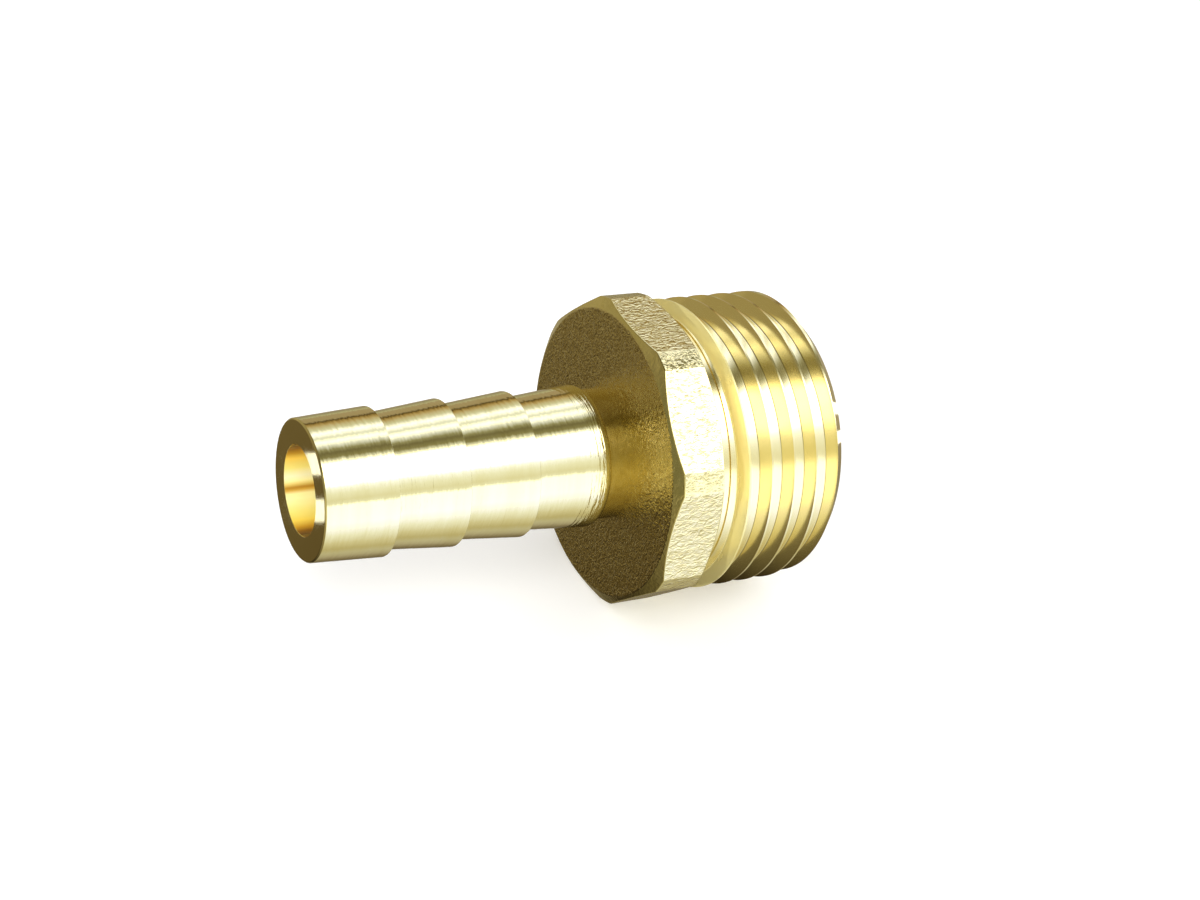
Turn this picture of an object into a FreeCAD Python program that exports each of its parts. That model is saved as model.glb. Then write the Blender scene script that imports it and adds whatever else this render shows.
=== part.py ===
# Hose barb tail: one piece of brass with a barbed hose spigot, an eight-sided collar and a parallel male thread.
# Millimetres. It lies along X on one flat of its collar, hose tip towards -X, with Z = 0 where the flat rests.
import FreeCAD, Part
import math
import os

# Barbed hose spigot
flow_bore_dia = 6.1
tip_dia = 9.6
tip_edge_chamfer = 0.1
barb_root_dia = 9.17
barb_crest_dia = 10.15
barb_count = 4
barb_pitch = 5.05
last_barb_length = 5.6
last_barb_round = 0.6

# Plain neck between the last barb and the collar
neck_dia = 9.24
neck_length = 1.5

# Eight-sided collar, its corners turned off and both faces chamfered
collar_sides = 8
collar_across_flats = 21.0
collar_across_corners = 22.15
collar_thickness = 4.0
collar_face_dia = 20.5
collar_chamfer_angle = 30.0

# Parallel pipe thread, right hand
thread_dia = 20.955
thread_pitch = 1.814
thread_depth = 0.86
thread_flank_angle = 27.5
thread_crest_width = 0.14
thread_length = 10.05
thread_end_chamfer = 0.95
thread_start_angle = 40.0
groove_overcut = 0.06
relief_width = 0.9
relief_clearance = 0.1

# Wider bore in the threaded end, drilled to a point that meets the flow bore
inlet_bore_dia = 14.0
inlet_depth = 10.4
drill_point_angle = 118.0
inlet_mouth_chamfer = 0.5

# Heights along the turning axis, measured from the hose tip
spigot_end = (barb_count - 1) * barb_pitch + last_barb_length
collar_front = spigot_end + neck_length
collar_back = collar_front + collar_thickness
collar_middle = collar_front + collar_thickness / 2
overall_length = collar_back + thread_length

thread_root_radius = thread_dia / 2 - thread_depth
relief_radius = thread_root_radius - relief_clearance
cutter_overshoot = 1.0

turning_axis = FreeCAD.Vector(0, 0, 1)
axis_foot = FreeCAD.Vector(0, 0, 0)


def profile_face(points):
    """Closed face in the XZ plane from (radius, height) points."""
    corners = [FreeCAD.Vector(radius, 0, height) for radius, height in points]
    return Part.Face(Part.makePolygon(corners + corners[:1]))


def turned(points):
    """Solid turned about the axis from (radius, height) points."""
    return profile_face(points).revolve(axis_foot, turning_axis, 360)


def ring_edges(solid, radius, height):
    """Circular edges of a given radius at a given height."""
    found = []
    for edge in solid.Edges:
        if not isinstance(edge.Curve, Part.Circle):
            continue
        same_radius = abs(edge.Curve.Radius - radius) < 1e-4
        same_height = abs(edge.Curve.Center.z - height) < 1e-4
        if same_radius and same_height:
            found.append(edge)
    return found


def barbed_spigot():
    """Saw-tooth barbs that widen towards the collar, the last one rounded over onto the neck."""
    root_radius = barb_root_dia / 2
    crest_radius = barb_crest_dia / 2
    outline = [(0, 0), (tip_dia / 2 - tip_edge_chamfer, 0), (tip_dia / 2, tip_edge_chamfer)]
    for barb in range(1, barb_count):
        step = barb * barb_pitch
        outline += [(crest_radius, step), (root_radius, step)]
    outline += [(crest_radius, spigot_end), (0, spigot_end)]
    barbs = turned(outline)
    barbs = barbs.makeFillet(last_barb_round, ring_edges(barbs, crest_radius, spigot_end))

    neck_start = spigot_end - last_barb_round
    neck = Part.makeCylinder(neck_dia / 2, collar_middle - neck_start, FreeCAD.Vector(0, 0, neck_start))
    return barbs.fuse(neck)


def octagonal_collar():
    """Prism with a flat square to X, cut to a turned blank that takes off the corners and chamfers the faces."""
    half_side_angle = math.pi / collar_sides
    vertex_radius = collar_across_flats / 2 / math.cos(half_side_angle)
    vertices = []
    for corner in range(collar_sides + 1):
        angle = (2 * corner + 1) * half_side_angle
        vertices.append(FreeCAD.Vector(vertex_radius * math.cos(angle), vertex_radius * math.sin(angle), collar_front))
    prism = Part.Face(Part.makePolygon(vertices)).extrude(turning_axis * collar_thickness)

    face_radius = collar_face_dia / 2
    corner_radius = collar_across_corners / 2
    chamfer_height = (corner_radius - face_radius) * math.tan(math.radians(collar_chamfer_angle))
    blank = turned([
        (0, collar_front),
        (face_radius, collar_front),
        (corner_radius, collar_front + chamfer_height),
        (corner_radius, collar_back - chamfer_height),
        (face_radius, collar_back),
        (0, collar_back),
    ])
    return prism.common(blank)


def thread_groove():
    """Trapezoidal groove swept along a right-hand helix, from inside the relief to past the chamfered end."""
    flank_slope = math.tan(math.radians(thread_flank_angle))
    crest_gap = thread_pitch - thread_crest_width
    root_gap = crest_gap - 2 * thread_depth * flank_slope
    mouth_gap = crest_gap + 2 * groove_overcut * flank_slope
    mouth_radius = thread_dia / 2 + groove_overcut
    groove_start = collar_back - thread_pitch
    turn_count = math.ceil((overall_length + thread_pitch - groove_start) / thread_pitch)
    turns = []
    for turn in range(turn_count):
        helix = Part.makeHelix(thread_pitch, thread_pitch, thread_root_radius)
        helix.translate(turning_axis * turn * thread_pitch)
        turns += helix.Edges
    section = Part.makePolygon([
        FreeCAD.Vector(thread_root_radius, 0, -root_gap / 2),
        FreeCAD.Vector(mouth_radius, 0, -mouth_gap / 2),
        FreeCAD.Vector(mouth_radius, 0, mouth_gap / 2),
        FreeCAD.Vector(thread_root_radius, 0, root_gap / 2),
        FreeCAD.Vector(thread_root_radius, 0, -root_gap / 2),
    ])
    groove = Part.Wire(turns).makePipeShell([section], True, True)
    groove.translate(FreeCAD.Vector(0, 0, groove_start))
    groove.rotate(axis_foot, turning_axis, thread_start_angle)
    return groove


def threaded_end():
    """Thread blank with a relief at the collar and a chamfered end, then the helical groove."""
    crest_radius = thread_dia / 2
    relief_end = collar_back + relief_width
    shoulder = crest_radius - relief_radius
    blank = turned([
        (0, collar_middle),
        (relief_radius, collar_middle),
        (relief_radius, relief_end),
        (crest_radius, relief_end + shoulder / 2),
        (crest_radius, overall_length - thread_end_chamfer),
        (crest_radius - thread_end_chamfer, overall_length),
        (0, overall_length),
    ])
    return blank.cut(thread_groove())


def through_passage():
    """Flow bore from the hose tip, opened out by a drilled bore with a chamfered mouth."""
    inlet_radius = inlet_bore_dia / 2
    drill_shoulder = overall_length - inlet_depth
    drill_point = drill_shoulder - inlet_radius / math.tan(math.radians(drill_point_angle / 2))
    flow_bore = Part.makeCylinder(
        flow_bore_dia / 2,
        overall_length + 2 * cutter_overshoot,
        FreeCAD.Vector(0, 0, -cutter_overshoot),
    )
    inlet = turned([
        (0, drill_point),
        (inlet_radius, drill_shoulder),
        (inlet_radius, overall_length - inlet_mouth_chamfer),
        (inlet_radius + inlet_mouth_chamfer + cutter_overshoot, overall_length + cutter_overshoot),
        (0, overall_length + cutter_overshoot),
    ])
    return flow_bore.fuse(inlet)


def hose_barb_tail():
    body = barbed_spigot().fuse(octagonal_collar()).fuse(threaded_end())
    body = body.cut(through_passage())
    body.rotate(axis_foot, FreeCAD.Vector(0, 1, 0), 90)
    body.translate(FreeCAD.Vector(-overall_length / 2, 0, collar_across_flats / 2))
    return body


os.makedirs("parts", exist_ok=True)
tail = hose_barb_tail()
print("solids", len(tail.Solids), "valid", tail.isValid(), "volume", round(tail.Volume, 1))
tail.exportStep("parts/hose_barb_tail.step")
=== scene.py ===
# Brass hose barb tail: turned spigot, blasted octagonal collar and male pipe thread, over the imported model.
import bpy
import bmesh
from math import atan2, cos, hypot, pi, radians, sin, sqrt, tan
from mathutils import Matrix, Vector


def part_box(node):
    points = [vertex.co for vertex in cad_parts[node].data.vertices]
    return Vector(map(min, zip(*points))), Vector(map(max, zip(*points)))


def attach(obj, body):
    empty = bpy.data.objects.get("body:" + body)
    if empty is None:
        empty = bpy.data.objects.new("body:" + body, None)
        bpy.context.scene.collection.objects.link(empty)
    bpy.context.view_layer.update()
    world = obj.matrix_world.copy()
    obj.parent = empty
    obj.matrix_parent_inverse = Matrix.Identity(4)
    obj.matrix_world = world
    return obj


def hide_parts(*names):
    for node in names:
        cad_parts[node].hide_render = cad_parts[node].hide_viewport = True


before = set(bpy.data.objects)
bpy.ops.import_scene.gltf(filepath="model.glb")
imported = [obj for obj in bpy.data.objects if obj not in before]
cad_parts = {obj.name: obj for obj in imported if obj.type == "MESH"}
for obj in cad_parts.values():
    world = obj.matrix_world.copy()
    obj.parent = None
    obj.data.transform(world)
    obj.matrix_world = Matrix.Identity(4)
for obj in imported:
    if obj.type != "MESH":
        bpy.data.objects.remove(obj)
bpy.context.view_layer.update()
cadNode = "hose_barb_tail"
nodeLow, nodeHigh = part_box(cadNode)
mm = 0.001
tipX = nodeLow.x                          # hose tip: distances below are counted from it, in mm
axisZ = (nodeLow.z + nodeHigh.z) / 2      # height of the turning axis
weld = 0.0008 * mm                        # points closer than this are one
edgeSteps = 2                             # faces across a broken edge
print("frame loaded, length", round((nodeHigh.x - nodeLow.x) / mm, 2), "mm")


def along(distance):
    return tipX + distance * mm


def radiusOf(point):
    return hypot(point.y, point.z - axisZ) / mm


def distanceOf(point):
    return (point.x - tipX) / mm


# Share of a turn round the axis, from straight down over the back and the top
def turnOf(point):
    return (atan2(point.z - axisZ, point.y) / (2 * pi) + 0.25) % 1


def selectOnly(piece=None):
    if bpy.context.object and bpy.context.object.mode == "EDIT":
        bpy.ops.object.mode_set(mode="OBJECT")
    bpy.ops.object.select_all(action="DESELECT")
    if piece:
        piece.select_set(True)
        bpy.context.view_layer.objects.active = piece


# A circle round the turning axis, left selected in edit mode, that the rings below are pulled from
def startRing(name, radius, distance, segments):
    selectOnly()
    bpy.ops.mesh.primitive_circle_add(vertices=segments, radius=radius * mm,
                                      location=(along(distance), 0, axisZ), rotation=(0, pi / 2, 0))
    piece = bpy.context.object
    piece.name = piece.data.name = name
    bpy.ops.object.transform_apply(location=True, rotation=True, scale=True)
    bpy.ops.object.mode_set(mode="EDIT")
    bpy.ops.mesh.select_all(action="SELECT")
    return piece


# Extrudes the selected ring through a list of (radius, distance), as on a lathe
def pullRings(last, rings):
    for new in rings:
        step = ((new[1] - last[1]) * mm, 0, 0)
        scale = new[0] / last[0]
        bpy.ops.mesh.extrude_region_move(TRANSFORM_OT_translate={"value": step})
        bpy.ops.transform.resize(value=(1, scale, scale), center_override=(along(new[1]), 0, axisZ))
        last = new
    return last


def closeUp(piece):
    bpy.ops.mesh.select_mode(type="VERT")
    bpy.ops.mesh.select_all(action="SELECT")
    bpy.ops.mesh.remove_doubles(threshold=weld)
    bpy.ops.mesh.normals_make_consistent(inside=False)
    bpy.ops.object.mode_set(mode="OBJECT")


# Shades round what is turned, then breaks the edges by a hair with the faces beside them kept true
def finishPiece(piece, size):
    selectOnly(piece)
    bpy.ops.object.shade_smooth_by_angle(angle=radians(size["smoothAngle"]))
    if "edge" in size:
        edge = piece.modifiers.new("edges", "BEVEL")
        edge.width = size["edge"] * mm
        edge.segments = edgeSteps
        edge.limit_method = "ANGLE"
        edge.angle_limit = radians(size["edgeAngle"])
        edge.use_clamp_overlap = True
        edge.harden_normals = True
        bpy.ops.object.modifier_apply(modifier=edge.name)
    print(piece.name, "has", sum(len(face.vertices) - 2 for face in piece.data.polygons), "triangles")


# First finish everywhere, then each rule's finish on the faces whose (radius, distance, turn) it fits
def paint(piece, rules):
    for material, test in rules:
        piece.data.materials.append(material)
    for face in piece.data.polygons:
        place = radiusOf(face.center), distanceOf(face.center), turnOf(face.center)
        for index, (material, test) in enumerate(rules):
            if test is None or test(*place):
                face.material_index = index


def newMaterial(name):
    material = bpy.data.materials.new(name)
    material.use_nodes = True
    return material, material.node_tree.nodes, material.node_tree.links


# A material that only glows
def newGlow(name):
    material, nodes, links = newMaterial(name)
    nodes.clear()
    glow = nodes.new("ShaderNodeEmission")
    output = nodes.new("ShaderNodeOutputMaterial")
    links.new(glow.outputs["Emission"], output.inputs["Surface"])
    return material, nodes, links, glow


# Links a socket to another one, or sets it to a plain value
def feed(links, socket, value):
    if isinstance(value, bpy.types.NodeSocket):
        links.new(value, socket)
    else:
        socket.default_value = value


def calculate(nodes, links, operation, *values):
    node = nodes.new("ShaderNodeMath")
    node.operation = operation
    for socket, value in zip(node.inputs, values):
        feed(links, socket, value)
    return node.outputs[0]


def rescale(nodes, links, value, span, to=(0, 1)):
    node = nodes.new("ShaderNodeMapRange")
    node.inputs["From Min"].default_value, node.inputs["From Max"].default_value = span
    node.inputs["To Min"].default_value, node.inputs["To Max"].default_value = to
    links.new(value, node.inputs["Value"])
    return node.outputs["Result"]


mixInputs, mixOutput = (0, 6, 7), 2      # factor, two colours and result among a Mix node's sockets


def mixColours(nodes, links, blend, *values):
    node = nodes.new("ShaderNodeMix")
    node.data_type, node.blend_type = "RGBA", blend
    for index, value in zip(mixInputs, values):
        feed(links, node.inputs[index], value)
    return node.outputs[mixOutput]


# Colours that follow each other round a circle, at degrees from -180 to 180, as shares of full, the brightest
def coloursRound(nodes, links, turn, stops, full=1.0):
    ramp = nodes.new("ShaderNodeValToRGB")
    elements = ramp.color_ramp.elements
    while len(elements) > 1:
        elements.remove(elements[-1])
    for number, (degree, colour) in enumerate(stops):
        place = (degree + 180) / 360
        element = elements[0] if number == 0 else elements.new(place)
        element.position = place
        element.color = (*[part / full for part in colour], 1)
    links.new(rescale(nodes, links, turn, (-pi, pi)), ramp.inputs["Fac"])
    return ramp.outputs["Color"]


noiseSpan = (0.3, 0.7)      # where nearly all values of a noise lie
toneDetail, glossDetail = 3.0, 2.0


# Brass with two tones and uneven gloss. Relief is (scale per metre, detail, distortion, height in mm);
# colours given by degrees round the turning axis (0 back, 90 up) are painted reflections, bands of light and
# shade.
def brass(name, look):
    material, nodes, links = newMaterial(name)
    shader = nodes["Principled BSDF"]
    shader.inputs["Metallic"].default_value = look.get("metal", 1.0)
    shader.inputs["Specular IOR Level"].default_value = look.get("specular", 0.5)
    coords = nodes.new("ShaderNodeTexCoord")

    def pattern(scale, detail, distortion=0.0):
        place = nodes.new("ShaderNodeMapping")
        place.inputs["Scale"].default_value = scale
        noise = nodes.new("ShaderNodeTexNoise")
        noise.inputs["Scale"].default_value = 1.0
        noise.inputs["Detail"].default_value = detail
        noise.inputs["Distortion"].default_value = distortion
        links.new(coords.outputs["Object"], place.inputs["Vector"])
        links.new(place.outputs["Vector"], noise.inputs["Vector"])
        return noise.outputs["Fac"]

    tone = nodes.new("ShaderNodeValToRGB")
    for element, place, shade in zip(tone.color_ramp.elements, noiseSpan, (look["deep"], look["pale"])):
        element.position, element.color = place, (*shade, 1)
    links.new(pattern(look["toneScale"], toneDetail), tone.inputs["Fac"])
    colour = tone.outputs["Color"]
    # Painted reflections: the base colour times bands of light and shade round the turning axis
    if "paintedReflections" in look:
        split = nodes.new("ShaderNodeSeparateXYZ")
        links.new(coords.outputs["Object"], split.inputs[0])
        height = calculate(nodes, links, "SUBTRACT", split.outputs["Z"], axisZ)
        turn = calculate(nodes, links, "ARCTAN2", height, split.outputs["Y"])
        paintedBands = coloursRound(nodes, links, turn, look["paintedReflections"])
        colour = mixColours(nodes, links, "MULTIPLY", 1.0, colour, paintedBands)
    links.new(colour, shader.inputs["Base Color"])

    gloss = rescale(nodes, links, pattern(look["glossScale"], glossDetail), noiseSpan, look["roughness"])
    links.new(gloss, shader.inputs["Roughness"])

    below = None
    for scale, detail, distortion, height in look["relief"]:
        bump = nodes.new("ShaderNodeBump")
        bump.inputs["Strength"].default_value = 1.0
        bump.inputs["Distance"].default_value = height * mm
        links.new(pattern(scale, detail, distortion), bump.inputs["Height"])
        if below:
            links.new(below, bump.inputs["Normal"])
        below = bump.outputs["Normal"]
    links.new(below, shader.inputs["Normal"])
    return material


turned = brass("turnedBrass", {
    "pale": (0.90, 0.81, 0.47), "deep": (0.86, 0.76, 0.40), "toneScale": (900, 60, 60),
    "roughness": (0.03, 0.065), "glossScale": (2500, 90, 90),
    "relief": [((4800, 540, 540), 3.0, 0.0, 0.025), ((900, 30, 30), 1.0, 0.0, 0.010)],
})
faced = brass("facedBrass", {
    "pale": (0.89, 0.79, 0.44), "deep": (0.85, 0.74, 0.38), "toneScale": (300, 300, 300),
    "roughness": (0.03, 0.05), "glossScale": (1500, 1500, 1500),
    "relief": [((400, 400, 400), 1.0, 0.0, 0.0006)],
})
drilled = brass("drilledBrass", {
    "pale": (0.94, 0.84, 0.45), "deep": (0.90, 0.78, 0.35), "toneScale": (1200, 80, 80),
    "metal": 0.8, "roughness": (0.22, 0.30), "glossScale": (2500, 90, 90),
    "relief": [((5000, 60, 60), 2.0, 0.0, 0.012)],
})
# The flow bore: a pale base times the brass's yellow and painted reflections, bands of pale, orange and dark
# brown round the axis
reamedWithPaintedReflections = brass("reamedBrassWithPaintedReflections", {
    "pale": (1.00, 1.00, 1.00), "deep": (0.96, 0.93, 0.86), "toneScale": (300, 900, 900),
    "metal": 0.1, "specular": 0.1, "roughness": (0.20, 0.28), "glossScale": (600, 900, 900),
    "relief": [((500, 2500, 2500), 1.0, 0.0, 0.004)],
    "paintedReflections": [
        (-180, (1.00, 0.93, 0.52)), (-150, (1.00, 0.80, 0.28)), (-128, (0.08, 0.03, 0.01)),
        (-108, (0.10, 0.04, 0.01)), (-98, (0.24, 0.10, 0.01)), (-89, (0.62, 0.34, 0.03)),
        (-77, (0.97, 0.74, 0.12)), (-65, (1.00, 0.87, 0.24)), (-47, (1.00, 0.97, 0.46)),
        (-41, (1.00, 0.93, 0.42)), (-37, (0.72, 0.46, 0.08)), (-33, (0.46, 0.22, 0.02)),
        (-29, (0.80, 0.60, 0.15)), (-25, (1.00, 0.92, 0.40)), (-18, (1.00, 0.98, 0.64)),
        (-7, (1.00, 0.88, 0.26)), (7, (1.00, 0.70, 0.12)), (17, (0.55, 0.30, 0.03)),
        (28, (0.25, 0.11, 0.01)), (42, (0.08, 0.03, 0.01)), (62, (0.08, 0.03, 0.01)),
        (90, (0.90, 0.60, 0.16)), (120, (1.00, 0.93, 0.50)), (146, (0.72, 0.50, 0.14)),
        (158, (1.00, 0.90, 0.45)),
    ],
})
threaded = brass("threadedBrass", {
    "pale": (0.94, 0.83, 0.47), "deep": (0.91, 0.78, 0.40), "toneScale": (200, 200, 200),
    "roughness": (0.13, 0.18), "glossScale": (900, 300, 300),
    "relief": [((500, 500, 500), 1.0, 0.0, 0.003)],
})
# A lit copy of the thread's brass, duller in gloss but paler and less metallic than the other flanks: painted
# light, because this one would mirror nothing but the dark back of the collar
firstFlankPaintedLight = brass("firstFlankBrassPaintedLight", {
    "pale": (0.97, 0.86, 0.40), "deep": (0.94, 0.81, 0.33), "toneScale": (900, 200, 200),
    "metal": 0.55, "roughness": (0.20, 0.28), "glossScale": (2500, 300, 300),
    "relief": [((4000, 200, 200), 1.0, 0.0, 0.006)],
})
# The neck: satin brass with a darker, deeper yellow base colour than the rest, painted shade in the recess
# between the last barb and the collar
satinWithPaintedShade = brass("satinBrassWithPaintedShade", {
    "pale": (0.74, 0.60, 0.22), "deep": (0.64, 0.49, 0.14), "toneScale": (900, 900, 900),
    "roughness": (0.16, 0.22), "glossScale": (3000, 1500, 1500),
    "relief": [((3500, 400, 400), 2.0, 0.0, 0.012), ((1500, 1500, 1500), 1.0, 0.0, 0.020)],
})
blasted = brass("blastedBrass", {
    "pale": (0.84, 0.74, 0.41), "deep": (0.74, 0.63, 0.31), "toneScale": (1500, 1500, 1500),
    "roughness": (0.12, 0.17), "glossScale": (3000, 3000, 3000),
    "relief": [((1900, 3300, 3300), 1.0, 1.2, 0.072)],
})
chamfered = brass("chamferedBrass", {
    "pale": (0.88, 0.79, 0.42), "deep": (0.82, 0.72, 0.34), "toneScale": (900, 900, 900),
    "roughness": (0.14, 0.20), "glossScale": (2500, 2500, 2500),
    "relief": [((2200, 2200, 2200), 2.0, 0.8, 0.030)],
})
print("brass finishes made")


spigot = {
    "segments": 256,
    "boreRadius": 3.05,
    "tipRadius": 4.8,
    "tipChamfer": 0.1,
    "rootRadius": 4.585,
    "crestRadius": 5.075,
    "barbs": 4,
    "pitch": 5.05,
    "lastLength": 5.6,
    "lastRound": 0.6,
    "roundSteps": 8,
    "neckRadius": 4.62,
    "neckEnd": 24.25,          # where the spigot meets the thread's core, inside the collar
    "drillShoulder": 25.9,     # the drilled cone between the two bores starts here
    "drillRadius": 7.0,
    "drillPoint": 118,
    "edge": 0.03,
    "edgeAngle": 30,
    "smoothAngle": 50,
    "hair": 0.02,              # how near a face's middle must be to count as on a surface
}
drillSlope = tan(radians(spigot["drillPoint"] / 2))


def drillDistance(radius):
    return spigot["drillShoulder"] - (spigot["drillRadius"] - radius) / drillSlope


def makeSpigot(size):
    mouth = (size["boreRadius"], 0)
    piece = startRing("hoseSpigot", *mouth, size["segments"])
    rings = [(size["tipRadius"] - size["tipChamfer"], 0), (size["tipRadius"], size["tipChamfer"])]
    for barb in range(1, size["barbs"]):
        step = barb * size["pitch"]
        rings += [(size["crestRadius"], step), (size["rootRadius"], step)]
    lastStart = (size["barbs"] - 1) * size["pitch"]
    lastEnd = lastStart + size["lastLength"]
    slope = (size["crestRadius"] - size["rootRadius"]) / size["lastLength"]
    bend = size["lastRound"]
    bendAt = lastEnd - bend
    bendRadius = size["rootRadius"] + slope * (bendAt - lastStart) - bend * sqrt(1 + slope * slope)
    lift = size["neckRadius"] - bendRadius
    firstAngle = pi / 2 + atan2(slope, 1)
    lastAngle = atan2(lift, sqrt(bend * bend - lift * lift))
    for step in range(size["roundSteps"] + 1):
        angle = firstAngle + (lastAngle - firstAngle) * step / size["roundSteps"]
        rings.append((bendRadius + bend * sin(angle), bendAt + bend * cos(angle)))
    rings += [(size["neckRadius"], drillDistance(size["neckRadius"])),
              (size["boreRadius"], drillDistance(size["boreRadius"])), mouth]
    pullRings(mouth, rings)
    closeUp(piece)
    finishPiece(piece, size)
    hair = size["hair"]
    neckInside = size["neckRadius"] - hair
    paint(piece, [
        (turned, None),
        (satinWithPaintedShade, lambda r, d, turn: abs(r - size["neckRadius"]) < hair and d > bendAt + bend / 2),
        (drilled, lambda r, d, turn: r < neckInside and d > lastEnd),
        (reamedWithPaintedReflections, lambda r, d, turn: r < size["boreRadius"] + hair),
        (faced, lambda r, d, turn: d < hair or (bendAt < d < lastEnd and r > size["neckRadius"] + hair)),
    ])
    return piece


collar = {
    "segments": 360,
    "front": 22.25,
    "thickness": 4.0,
    "acrossFlats": 21.0,
    "acrossCorners": 22.15,
    "faceRadius": 10.25,
    "chamferAngle": 30,
    "sides": 8,
    "reliefRadius": 9.5175,
    "sunk": 0.2,               # how far its hole reaches into the neck
    "edge": 0.07,
    "edgeAngle": 12,
    "smoothAngle": 25,
    "hair": 0.06,
}


def makeCollar(size):
    front, back = size["front"], size["front"] + size["thickness"]
    flat, corner = size["acrossFlats"] / 2, size["acrossCorners"] / 2
    rise = tan(radians(size["chamferAngle"]))
    span = 2 * pi / size["sides"]
    stepAngle = 2 * pi / size["segments"]
    halfFlat = atan2(sqrt(corner ** 2 - flat ** 2), flat)      # angle from a flat's middle to its turned corner
    hole = (spigot["neckRadius"] - size["sunk"], front)
    piece = startRing("spannerCollar", *hole, size["segments"])
    pullRings(hole, [(size["faceRadius"], front)])

    # Where a ring's point goes: out to its flat or turned corner, or back in to the round face
    def shape(angle, atBack, outside):
        middle = round(angle / span) * span
        offset = angle - middle
        if outside and abs(abs(offset) - halfFlat) < stepAngle / 2:
            offset = halfFlat if offset > 0 else -halfFlat
        reach = min(flat / cos(offset), corner) if outside else size["faceRadius"]
        depth = (reach - size["faceRadius"]) * rise
        return (along(back - depth if atBack else front + depth),
                reach * mm * cos(middle + offset), axisZ + reach * mm * sin(middle + offset))

    for atBack, outside in ((False, True), (True, True), (True, False)):
        bpy.ops.mesh.extrude_region_move(TRANSFORM_OT_translate={"value": (0, 0, 0)})
        mesh = bmesh.from_edit_mesh(piece.data)
        for vertex in mesh.verts:
            if vertex.select:
                vertex.co = shape(atan2(vertex.co.z - axisZ, vertex.co.y), atBack, outside)
        bmesh.update_edit_mesh(piece.data)
    pullRings((size["faceRadius"], back), [
        (size["reliefRadius"], back), (size["reliefRadius"], spigot["neckEnd"]),
        (hole[0], spigot["neckEnd"]), hole])
    closeUp(piece)
    finishPiece(piece, size)
    hair = size["hair"]
    deepest = (corner - size["faceRadius"]) * rise + hair
    paint(piece, [
        (blasted, None),
        (chamfered, lambda r, d, turn: hair < d - front < deepest or hair < back - d < deepest),
        (faced, lambda r, d, turn: d > back - hair and r < size["faceRadius"]),
    ])
    return piece


thread = {
    "steps": 240,              # faces round one turn
    "crestRadius": 10.4775,
    "pitch": 1.814,
    "depth": 0.86,
    "flankAngle": 27.5,
    "crestWidth": 0.14,
    "rootRound": 0.14,
    "roundSteps": 4,
    "overcut": 0.06,           # how far the cutter stands out past the crests
    "rootMiddle": 25.1414,     # middle of a groove on the line straight above the axis
    "turns": 6.83,
    "fade": 0.17,              # of a turn, where the groove runs out before the end chamfer
    "end": 36.3,
    "endChamfer": 0.95,
    "reliefEnd": 27.15,
    "inletRadius": 7.0,
    "mouthChamfer": 0.5,
    "smoothAngle": 28,
    "hair": 0.01,
}


# The cutter's outline as (distance, height) from the middle of the groove's root
def grooveOutline(size):
    lean = radians(90 - size["flankAngle"])
    halfRoot = (size["pitch"] - size["crestWidth"]) / 2 - size["depth"] / tan(lean)
    bend = size["rootRound"]
    cornerAt = halfRoot - bend * tan(lean / 2)
    top = size["depth"] + size["overcut"]
    outline = [(0, 0)]
    for step in range(size["roundSteps"] + 1):
        angle = lean * step / size["roundSteps"]
        outline.append((cornerAt + bend * sin(angle), bend - bend * cos(angle)))
    outline.append((halfRoot + top / tan(lean), top))
    return outline + [(-x, y) for x, y in reversed(outline)]


# A groove section pulled along the helix. Its last part rises out of the metal.
def makeGrooveCutter(size):
    selectOnly()
    rootRadius = size["crestRadius"] - size["depth"]
    steps = round(size["steps"] * size["turns"])
    bpy.ops.mesh.primitive_plane_add(size=mm, location=(along(size["rootMiddle"] - size["pitch"]), 0, axisZ))
    cutter = bpy.context.object
    bpy.ops.object.mode_set(mode="EDIT")
    bpy.ops.mesh.select_all(action="SELECT")
    bpy.ops.mesh.merge(type="CENTER")
    bpy.ops.transform.translate(value=(0, 0, rootRadius * mm))
    outline = grooveOutline(size)
    for last, new in zip(outline, outline[1:]):
        step = ((new[0] - last[0]) * mm, 0, (new[1] - last[1]) * mm)
        bpy.ops.mesh.extrude_vertices_move(TRANSFORM_OT_translate={"value": step})
    bpy.ops.mesh.select_all(action="SELECT")
    bpy.ops.mesh.remove_doubles(threshold=weld)
    bpy.ops.object.mode_set(mode="OBJECT")
    helix = cutter.modifiers.new("helix", "SCREW")
    helix.axis = "X"
    helix.angle = 2 * pi * size["turns"]
    helix.screw_offset = size["pitch"] * size["turns"] * mm
    helix.steps = helix.render_steps = steps
    bpy.ops.object.modifier_apply(modifier=helix.name)
    perSection = len(cutter.data.vertices) // (steps + 1)
    for vertex in cutter.data.vertices:
        left = size["turns"] - vertex.index // perSection / size["steps"]      # turns from here to the end
        if left < size["fade"]:
            lift = 1 + (1 - left / size["fade"]) * (size["depth"] + size["overcut"]) / rootRadius
            vertex.co.y *= lift
            vertex.co.z = axisZ + (vertex.co.z - axisZ) * lift
    bpy.ops.object.mode_set(mode="EDIT")
    bpy.ops.mesh.select_all(action="SELECT")
    bpy.ops.mesh.fill_holes(sides=0)
    closeUp(cutter)
    return cutter


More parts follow.
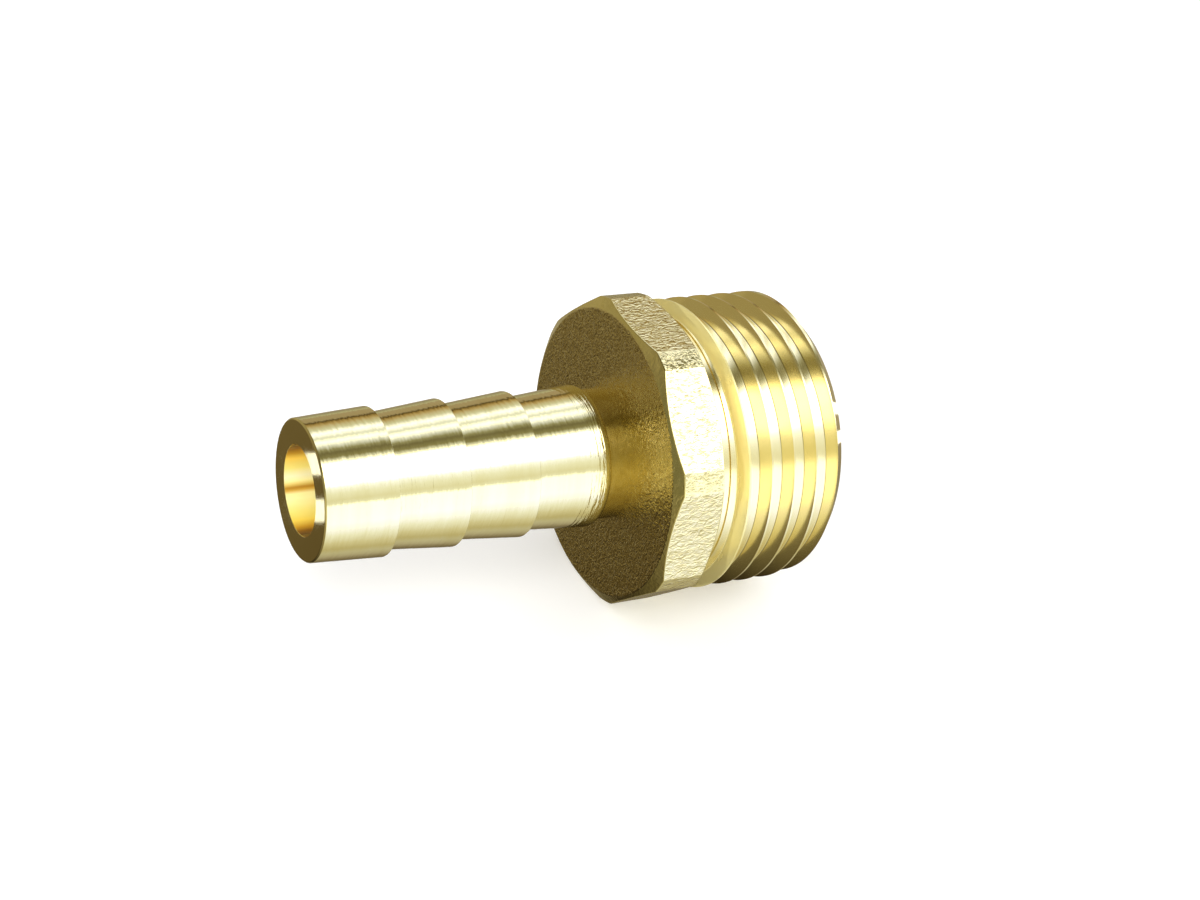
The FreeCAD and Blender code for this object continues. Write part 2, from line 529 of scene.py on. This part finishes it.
def makeThread(size):
    crest, reliefRadius = size["crestRadius"], collar["reliefRadius"]
    chamferStart = size["end"] - size["endChamfer"]
    core = (spigot["neckRadius"], drillDistance(spigot["neckRadius"]))
    piece = startRing("maleThread", *core, size["steps"])
    pullRings(core, [
        (size["inletRadius"], spigot["drillShoulder"]),
        (size["inletRadius"], size["end"] - size["mouthChamfer"]),
        (size["inletRadius"] + size["mouthChamfer"], size["end"]),
        (crest - size["endChamfer"], size["end"]), (crest, chamferStart),
        (crest, size["reliefEnd"] + (crest - reliefRadius) / 2), (reliefRadius, size["reliefEnd"]),
        (reliefRadius, spigot["neckEnd"]), (spigot["neckRadius"], spigot["neckEnd"]), core])
    closeUp(piece)
    cutter = makeGrooveCutter(size)
    groove = piece.modifiers.new("groove", "BOOLEAN")
    groove.operation = "DIFFERENCE"
    groove.solver = "EXACT"
    groove.object = cutter
    selectOnly(piece)
    bpy.ops.object.modifier_apply(modifier=groove.name)
    bpy.data.objects.remove(cutter)
    finishPiece(piece, size)
    hair = size["hair"]
    root = crest - size["depth"]
    firstCrest = size["rootMiddle"] + size["pitch"]      # the crest nearest the collar, straight below the axis
    paint(piece, [
        (threaded, None),
        (firstFlankPaintedLight, lambda r, d, turn: r > root + hair and d < firstCrest + size["pitch"] * turn),
        (drilled, lambda r, d, turn: r < size["inletRadius"] + hair),
        (faced, lambda r, d, turn: d > chamferStart and r > crest - hair - (d - chamferStart)),
        (faced, lambda r, d, turn: d > size["end"] - hair),
    ])
    return piece


for piece in (makeSpigot(spigot), makeCollar(collar), makeThread(thread)):
    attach(piece, "root")
    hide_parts(cadNode)
print("pieces made")


# 1 where the camera, metal or glass looks, 0 for the light that falls on things
def lookedAt(nodes, links):
    path = nodes.new("ShaderNodeLightPath")
    total = path.outputs["Is Camera Ray"]
    for name in ("Is Glossy Ray", "Is Transmission Ray"):
        total = calculate(nodes, links, "MAXIMUM", total, path.outputs[name])
    return total


paper = {
    "size": 6.0,
    "colour": (0.86, 0.86, 0.86, 1),
    "roughness": 0.9,
    "whiten": (0.2, 0.55),     # glow that lifts the paper to white where it is looked at, near and far off
    "far": (0.25, 0.70),       # metres from the fitting where the one level gives way to the other
}


def makeFloor():
    selectOnly()
    bpy.ops.mesh.primitive_plane_add(size=paper["size"], location=(0, 0, 0))
    floor = bpy.context.object
    floor.name = "paleFloor"
    material, nodes, links = newMaterial("palePaper")
    shader = nodes["Principled BSDF"]
    shader.inputs["Base Color"].default_value = paper["colour"]
    shader.inputs["Roughness"].default_value = paper["roughness"]
    shader.inputs["Specular IOR Level"].default_value = 0
    coords = nodes.new("ShaderNodeTexCoord")
    away = nodes.new("ShaderNodeVectorMath")
    away.operation = "LENGTH"
    links.new(coords.outputs["Object"], away.inputs[0])
    level = rescale(nodes, links, away.outputs["Value"], paper["far"], paper["whiten"])
    glow = nodes.new("ShaderNodeEmission")
    links.new(calculate(nodes, links, "MULTIPLY", lookedAt(nodes, links), level), glow.inputs["Strength"])
    both = nodes.new("ShaderNodeAddShader")
    links.new(shader.outputs["BSDF"], both.inputs[0])
    links.new(glow.outputs["Emission"], both.inputs[1])
    links.new(both.outputs["Shader"], nodes["Material Output"].inputs["Surface"])
    floor.data.materials.append(material)
    floor.visible_glossy = False


def hideFromAllButMetal(thing):
    thing.visible_camera = thing.visible_diffuse = thing.visible_shadow = False
    thing.visible_transmission = thing.visible_volume_scatter = False


# What the brass mirrors: degrees round the turning axis (0 front, 90 up) and the light there
tent = {
    "radius": 0.6,
    "segments": 64,
    "rings": 32,
    "strength": 3.6,           # of the brightest light below
    "threadSide": [
        (-180, (0.52, 0.51, 0.33)), (-168, (0.31, 0.28, 0.18)), (-143, (0.42, 0.36, 0.24)),
        (-124, (0.16, 0.135, 0.085)), (-112, (0.24, 0.20, 0.12)), (-96, (0.47, 0.44, 0.34)),
        (-86, (0.55, 0.54, 0.43)), (-74, (0.55, 0.51, 0.33)), (-60, (0.72, 0.71, 0.57)),
        (-44, (0.98, 1.05, 1.16)), (-34, (1.15, 1.25, 1.75)), (-22, (1.80, 1.90, 2.10)),
        (7, (1.70, 1.80, 1.95)), (10.5, (0.92, 0.97, 0.95)), (16, (0.85, 0.87, 0.76)),
        (26, (0.97, 1.03, 1.05)), (34, (1.15, 1.25, 1.60)), (41, (3.00, 3.00, 3.10)),
        (70, (3.50, 3.50, 3.50)), (77, (0.95, 1.00, 1.05)), (82, (0.28, 0.27, 0.15)),
        (90, (0.18, 0.165, 0.095)), (96, (0.33, 0.33, 0.22)), (103, (0.90, 0.98, 1.20)),
        (110, (1.80, 1.90, 2.20)), (118, (0.82, 0.90, 1.00)), (128, (1.60, 1.70, 2.20)),
        (137, (0.72, 0.76, 0.70)), (150, (0.50, 0.38, 0.19)), (155, (0.30, 0.21, 0.08)),
        (158.5, (0.06, 0.04, 0.015)), (163, (0.40, 0.33, 0.21)),
    ],
    "hoseSide": [
        (-180, (0.42, 0.36, 0.19)), (-168, (0.36, 0.30, 0.16)), (-156, (0.25, 0.20, 0.10)),
        (-146, (0.155, 0.118, 0.052)), (-138, (0.115, 0.084, 0.034)), (-128, (0.05, 0.036, 0.014)),
        (-112, (0.03, 0.022, 0.01)), (-98, (0.12, 0.10, 0.05)), (-84, (0.20, 0.17, 0.09)),
        (-60, (0.36, 0.31, 0.17)), (-40, (0.52, 0.47, 0.28)), (-13, (0.78, 0.72, 0.44)),
        (10, (0.62, 0.57, 0.34)), (30, (0.44, 0.41, 0.26)), (50, (0.42, 0.39, 0.26)),
        (70, (0.50, 0.46, 0.30)), (82, (0.13, 0.11, 0.05)), (96, (0.12, 0.10, 0.05)),
        (115, (0.22, 0.18, 0.10)), (137, (0.24, 0.20, 0.11)), (160, (0.34, 0.29, 0.15)),
    ],
    "hoseEnd": (0.20, 0.185, 0.10),
    "threadEnd": (2.2, 2.3, 3.0),
    "seam": (-0.15, 0.05),     # where the two sides meet, as a share of the radius
    "ends": (0.88, 0.97),      # where the round ends begin
}


def makeTent():
    selectOnly()
    bpy.ops.mesh.primitive_uv_sphere_add(segments=tent["segments"], ring_count=tent["rings"],
                                         radius=tent["radius"], location=(0, 0, axisZ))
    cloth = bpy.context.object
    cloth.name = "reflectionTent"
    material, nodes, links, glow = newGlow("tentCloth")
    coords = nodes.new("ShaderNodeTexCoord")
    direction = nodes.new("ShaderNodeVectorMath")
    direction.operation = "NORMALIZE"
    split = nodes.new("ShaderNodeSeparateXYZ")
    links.new(coords.outputs["Object"], direction.inputs[0])
    links.new(direction.outputs["Vector"], split.inputs[0])
    lengthwise, across, up = (split.outputs[part] for part in "XYZ")
    angle = calculate(nodes, links, "ARCTAN2", up, calculate(nodes, links, "MULTIPLY", across, -1))
    sides = [coloursRound(nodes, links, angle, tent[side], tent["strength"])
             for side in ("hoseSide", "threadSide")]
    ends = [(*[part / tent["strength"] for part in tent[end]], 1)
            for end in ("hoseEnd", "threadEnd")]
    towardsThread = rescale(nodes, links, lengthwise, tent["seam"])
    towardsEnd = rescale(nodes, links, calculate(nodes, links, "ABSOLUTE", lengthwise), tent["ends"])
    whole = mixColours(nodes, links, "MIX", towardsEnd,
                       mixColours(nodes, links, "MIX", towardsThread, *sides),
                       mixColours(nodes, links, "MIX", towardsThread, *ends))
    links.new(whole, glow.inputs["Color"])
    glow.inputs["Strength"].default_value = tent["strength"]
    cloth.data.materials.append(material)
    hideFromAllButMetal(cloth)


# Small lit cards whose reflections stand on the tip's ring and on the thread's end chamfer
cards = {
    "tipCardUpper": {
        "size": (0.0093, 0.0059, 1), "place": (-0.1494, 0.2995, -0.2130), "turn": (112.9, -23.7, -130.2)},
    "tipCardLower": {
        "size": (0.0093, 0.0060, 1), "place": (-0.1482, 0.2932, -0.2237), "turn": (113.7, -24.4, -130.1)},
    "endCardUpper": {
        "size": (0.0300, 0.0129, 1), "place": (0.3458, 0.1822, -0.1128), "turn": (57.7, -52.1, -33.8)},
    "endCardLower": {
        "size": (0.0300, 0.0131, 1), "place": (0.3456, 0.1644, -0.1344), "turn": (66.7, -9.0, -58.5)},
}
cardLight = (1.6, 1.65, 1.7, 1)


def makeCards():
    material, nodes, links, glow = newGlow("litCard")
    glow.inputs["Color"].default_value = cardLight
    for name, card in cards.items():
        selectOnly()
        bpy.ops.mesh.primitive_plane_add(size=1, location=card["place"])
        piece = bpy.context.object
        piece.name = name
        piece.rotation_euler = [radians(part) for part in card["turn"]]
        piece.scale = card["size"]
        piece.data.materials.append(material)
        hideFromAllButMetal(piece)


# Hangs up a light that metal doesn't mirror, turned towards a point
def hang(light, place, aim):
    holder = bpy.data.objects.new(light.name, light)
    bpy.context.scene.collection.objects.link(holder)
    holder.location = place
    holder.rotation_euler = (Vector(aim) - holder.location).to_track_quat("-Z", "Y").to_euler()
    holder.visible_glossy = False


lamps = {
    "keyLamp": {"size": (0.5, 0.5), "watts": 2.2, "place": (-0.25, -0.35, 0.55)},
    "fillLamp": {"size": (0.6, 0.4), "watts": 1.2, "place": (0.45, -0.25, 0.45)},
    "backLamp": {"size": (0.6, 0.4), "watts": 1.0, "place": (0.05, 0.5, 0.45)},
}


def makeLamps():
    for name, lamp in lamps.items():
        light = bpy.data.lights.new(name, "AREA")
        light.shape = "RECTANGLE"
        light.size, light.size_y = lamp["size"]
        light.energy = lamp["watts"]
        hang(light, lamp["place"], (0, 0, axisZ))


# A narrow beam into the hose tip, so that the flow bore doesn't go dark
beam = {"watts": 4.5, "cone": 9, "blend": 1.0, "soft": 0.01, "place": (-0.30, -0.12, 0.09)}


def makeBeam():
    light = bpy.data.lights.new("boreBeam", "SPOT")
    light.energy = beam["watts"]
    light.spot_size = radians(beam["cone"])
    light.spot_blend = beam["blend"]
    light.shadow_soft_size = beam["soft"]
    hang(light, beam["place"], (tipX, 0, axisZ))


room = {"soft": 0.55, "white": 1.0}      # strength as light on things, and where it is looked at


def makeRoom():
    world = bpy.data.worlds.new("whiteRoom")
    bpy.context.scene.world = world
    world.use_nodes = True
    nodes, links = world.node_tree.nodes, world.node_tree.links
    sky = nodes["Background"]
    sky.inputs["Color"].default_value = (1, 1, 1, 1)
    level = rescale(nodes, links, lookedAt(nodes, links), (0, 1), (room["soft"], room["white"]))
    links.new(level, sky.inputs["Strength"])


photoView = {
    "place": (-0.0591587, -0.096748, 0.085329),
    "turn": (56.55185, -10.35131, -26.41433),
    "sensor": 36,
    "lens": 58.5,
    "near": 0.001,
}


def makeCamera():
    view = bpy.data.cameras.new("photoView")
    view.sensor_width = photoView["sensor"]
    view.lens = photoView["lens"]
    view.clip_start = photoView["near"]
    camera = bpy.data.objects.new("photoView", view)
    bpy.context.scene.collection.objects.link(camera)
    camera.location = photoView["place"]
    camera.rotation_euler = [radians(part) for part in photoView["turn"]]
    bpy.context.scene.camera = camera


makeFloor()
makeTent()
makeCards()
makeLamps()
makeBeam()
makeRoom()
makeCamera()
bpy.context.scene.view_settings.view_transform = "Standard"
print("studio set")
